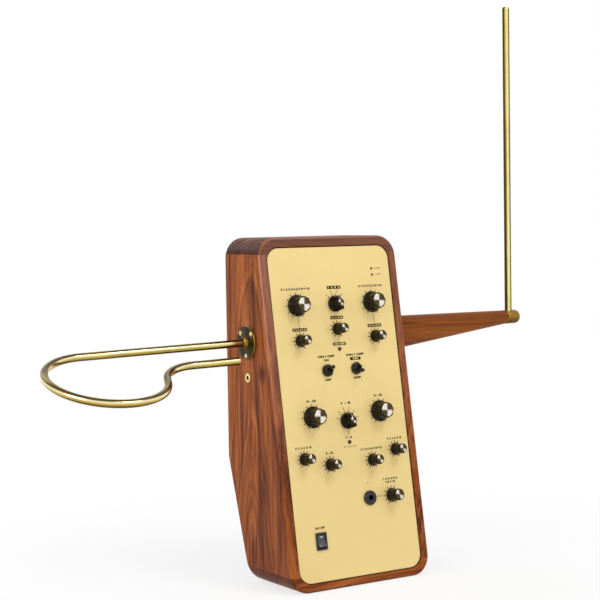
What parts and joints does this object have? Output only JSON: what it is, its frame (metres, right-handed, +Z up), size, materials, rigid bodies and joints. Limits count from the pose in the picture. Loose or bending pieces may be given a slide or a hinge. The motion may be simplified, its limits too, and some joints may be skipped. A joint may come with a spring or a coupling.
{
  "type": "theremin",
  "caption": "Upright wooden theremin with a leaning control plate, a bent-tube volume loop on the left and an upright pitch rod on a tapered arm on the right.",
  "frame": {"origin": "mouth of the stand socket, in the middle of the flat base", "axes": "+X to the player's right (towards the pitch rod), -Y to the player, +Z up"},
  "size_m": [0.7314, 0.1879, 0.7273],
  "materials": {
    "red_brown_wood": "oiled, streaked along the grain",
    "dark_wood": "oiled",
    "gold_plate": "fine satin, pale gold",
    "polished_brass": "polished",
    "dark_brass": "darkened, satin",
    "zinc_steel": "zinc plated",
    "black_paint": "satin black",
    "black_metal": "blackened",
    "black_plastic": "moulded",
    "brown_plastic": "moulded",
    "dark_lens": "clear, unlit",
    "circuit_board": "solder mask",
    "copper_winding": "lacquered copper wire"
  },
  "bodies": {
    "cabinet": {"left_side_board": "red_brown_wood", "right_side_board": "red_brown_wood", "top_board": "dark_wood", "bottom_board": "dark_wood", "upper_back_panel": "red_brown_wood", "rear_socket_panel": "black_paint", "back_battens": "dark_wood", "corner_blocks": "dark_wood", "back_screws": "zinc_steel", "front_plate": "gold_plate", "plate_brackets": "zinc_steel", "main_circuit_board": "circuit_board", "potentiometers": "zinc_steel", "rotary_switches": "zinc_steel", "push_switches": "black_plastic", "left_toggle_switch": "black_metal", "right_toggle_switch": "black_metal", "upper_indicator": "dark_lens", "lower_indicator": "dark_lens", "headphone_socket": "black_plastic", "headphone_socket_nut": "black_plastic", "power_switch_housing": "black_plastic", "rear_sockets": "black_plastic", "rear_socket_board": "circuit_board", "power_inlet": "black_plastic", "volume_coil_board": "circuit_board", "volume_coils": "copper_winding", "pitch_coil_board": "circuit_board", "pitch_coils": "copper_winding", "coil_board_posts": "zinc_steel", "stand_socket": "zinc_steel", "stand_socket_screws": "black_paint", "volume_flange": "dark_brass", "volume_flange_screws": "polished_brass", "volume_set_screw": "zinc_steel", "side_bushing": "polished_brass", "pitch_arm": "red_brown_wood", "pitch_arm_bolts": "zinc_steel", "pitch_arm_cap": "polished_brass"},
    "volume_antenna_knob": {"volume_antenna_knob": "black_plastic"},
    "pitch_antenna_knob": {"pitch_antenna_knob": "black_plastic"},
    "filter_knob": {"filter_knob": "black_plastic"},
    "delay_knob": {"delay_knob": "black_plastic"},
    "register_knob": {"register_knob": "black_plastic"},
    "timbre_knob": {"timbre_knob": "black_plastic"},
    "volume_response_knob": {"volume_response_knob": "black_plastic"},
    "pitch_response_knob": {"pitch_response_knob": "black_plastic"},
    "quantise_knob": {"quantise_knob": "black_plastic"},
    "brightness_knob": {"brightness_knob": "black_plastic"},
    "wave_knob": {"wave_knob": "black_plastic"},
    "delay_feedback_knob": {"delay_feedback_knob": "black_plastic"},
    "delay_time_knob": {"delay_time_knob": "black_plastic"},
    "headphone_level_knob": {"headphone_level_knob": "black_plastic"},
    "left_toggle_lever": {"left_toggle_lever": "black_metal"},
    "right_toggle_lever": {"right_toggle_lever": "black_metal"},
    "upper_push_button": {"upper_push_button": "brown_plastic"},
    "lower_push_button": {"lower_push_button": "brown_plastic"},
    "power_rocker": {"power_rocker": "black_plastic"},
    "volume_loop": {"volume_loop": "polished_brass"},
    "pitch_rod": {"pitch_rod": "polished_brass"}
  },
  "joints": [
    {"name": "volume_antenna_knob_turn", "type": "hinge", "parent": "cabinet", "child": "volume_antenna_knob", "pos_m": [-0.0542, 0.00897, 0.34099], "axis": [0, -0.9866, 0.1633], "range_deg": [-300, 0]},
    {"name": "pitch_antenna_knob_turn", "type": "hinge", "parent": "cabinet", "child": "pitch_antenna_knob", "pos_m": [0.0578, 0.00897, 0.34099], "axis": [0, -0.9866, 0.1633], "range_deg": [-300, 0]},
    {"name": "filter_knob_turn", "type": "hinge", "parent": "cabinet", "child": "filter_knob", "pos_m": [-0.0482, -0.01343, 0.20573], "axis": [0, -0.9866, 0.1633], "range_deg": [-300, 0]},
    {"name": "delay_knob_turn", "type": "hinge", "parent": "cabinet", "child": "delay_knob", "pos_m": [0.0518, -0.01343, 0.20573], "axis": [0, -0.9866, 0.1633], "range_deg": [-300, 0]},
    {"name": "register_knob_turn", "type": "hinge", "parent": "cabinet", "child": "register_knob", "pos_m": [0.0018, 0.00897, 0.34099], "axis": [0, -0.9866, 0.1633], "range_deg": [-60, 30]},
    {"name": "timbre_knob_turn", "type": "hinge", "parent": "cabinet", "child": "timbre_knob", "pos_m": [0.0018, -0.01475, 0.19774], "axis": [0, -0.9866, 0.1633], "range_deg": [-90, 60]},
    {"name": "volume_response_knob_turn", "type": "hinge", "parent": "cabinet", "child": "volume_response_knob", "pos_m": [-0.0542, 0.00188, 0.29818], "axis": [0, -0.9866, 0.1633], "range_deg": [-300, 0]},
    {"name": "pitch_response_knob_turn", "type": "hinge", "parent": "cabinet", "child": "pitch_response_knob", "pos_m": [0.0578, 0.00188, 0.29818], "axis": [0, -0.9866, 0.1633], "range_deg": [-300, 0]},
    {"name": "quantise_knob_turn", "type": "hinge", "parent": "cabinet", "child": "quantise_knob", "pos_m": [0.0018, 0.0038, 0.30982], "axis": [0, -0.9866, 0.1633], "range_deg": [-300, 0]},
    {"name": "brightness_knob_turn", "type": "hinge", "parent": "cabinet", "child": "brightness_knob", "pos_m": [-0.0662, -0.02148, 0.1571], "axis": [0, -0.9866, 0.1633], "range_deg": [-300, 0]},
    {"name": "wave_knob_turn", "type": "hinge", "parent": "cabinet", "child": "wave_knob", "pos_m": [-0.0297, -0.02311, 0.14723], "axis": [0, -0.9866, 0.1633], "range_deg": [-300, 0]},
    {"name": "delay_feedback_knob_turn", "type": "hinge", "parent": "cabinet", "child": "delay_feedback_knob", "pos_m": [0.0333, -0.02311, 0.14723], "axis": [0, -0.9866, 0.1633], "range_deg": [-300, 0]},
    {"name": "delay_time_knob_turn", "type": "hinge", "parent": "cabinet", "child": "delay_time_knob", "pos_m": [0.0698, -0.02148, 0.1571], "axis": [0, -0.9866, 0.1633], "range_deg": [-300, 0]},
    {"name": "headphone_level_knob_turn", "type": "hinge", "parent": "cabinet", "child": "headphone_level_knob", "pos_m": [0.0566, -0.03061, 0.10195], "axis": [0, -0.9866, 0.1633], "range_deg": [-300, 0]},
    {"name": "left_toggle_throw", "type": "hinge", "parent": "cabinet", "child": "left_toggle_lever", "pos_m": [-0.0198, -0.00341, 0.26013], "axis": [1, 0, 0], "range_deg": [0, 26]},
    {"name": "right_toggle_throw", "type": "hinge", "parent": "cabinet", "child": "right_toggle_lever", "pos_m": [0.0234, -0.00341, 0.26013], "axis": [1, 0, 0], "range_deg": [-26, 0]},
    {"name": "power_rocker_tilt", "type": "hinge", "parent": "cabinet", "child": "power_rocker", "pos_m": [-0.0547, -0.03729, 0.05856], "axis": [1, 0, 0], "range_deg": [0, 20]},
    {"name": "upper_push_button_press", "type": "slide", "parent": "cabinet", "child": "upper_push_button", "axis": [0, 0.9866, -0.1633], "range_m": [0, 0.0008], "stiffness_N_per_m": 400, "springref_m": -0.0006},
    {"name": "lower_push_button_press", "type": "slide", "parent": "cabinet", "child": "lower_push_button", "axis": [0, 0.9866, -0.1633], "range_m": [0, 0.0008], "stiffness_N_per_m": 400, "springref_m": -0.0006},
    {"name": "volume_loop_turn", "type": "hinge", "parent": "cabinet", "child": "volume_loop", "pos_m": [-0.103, 0.046, 0.2964], "axis": [-0.9998, 0, -0.0175], "range_deg": [-45, 45]},
    {"name": "pitch_rod_lift", "type": "slide", "parent": "cabinet", "child": "pitch_rod", "axis": [0, 0, 1], "range_m": [0, 0.0155]}
  ]
}
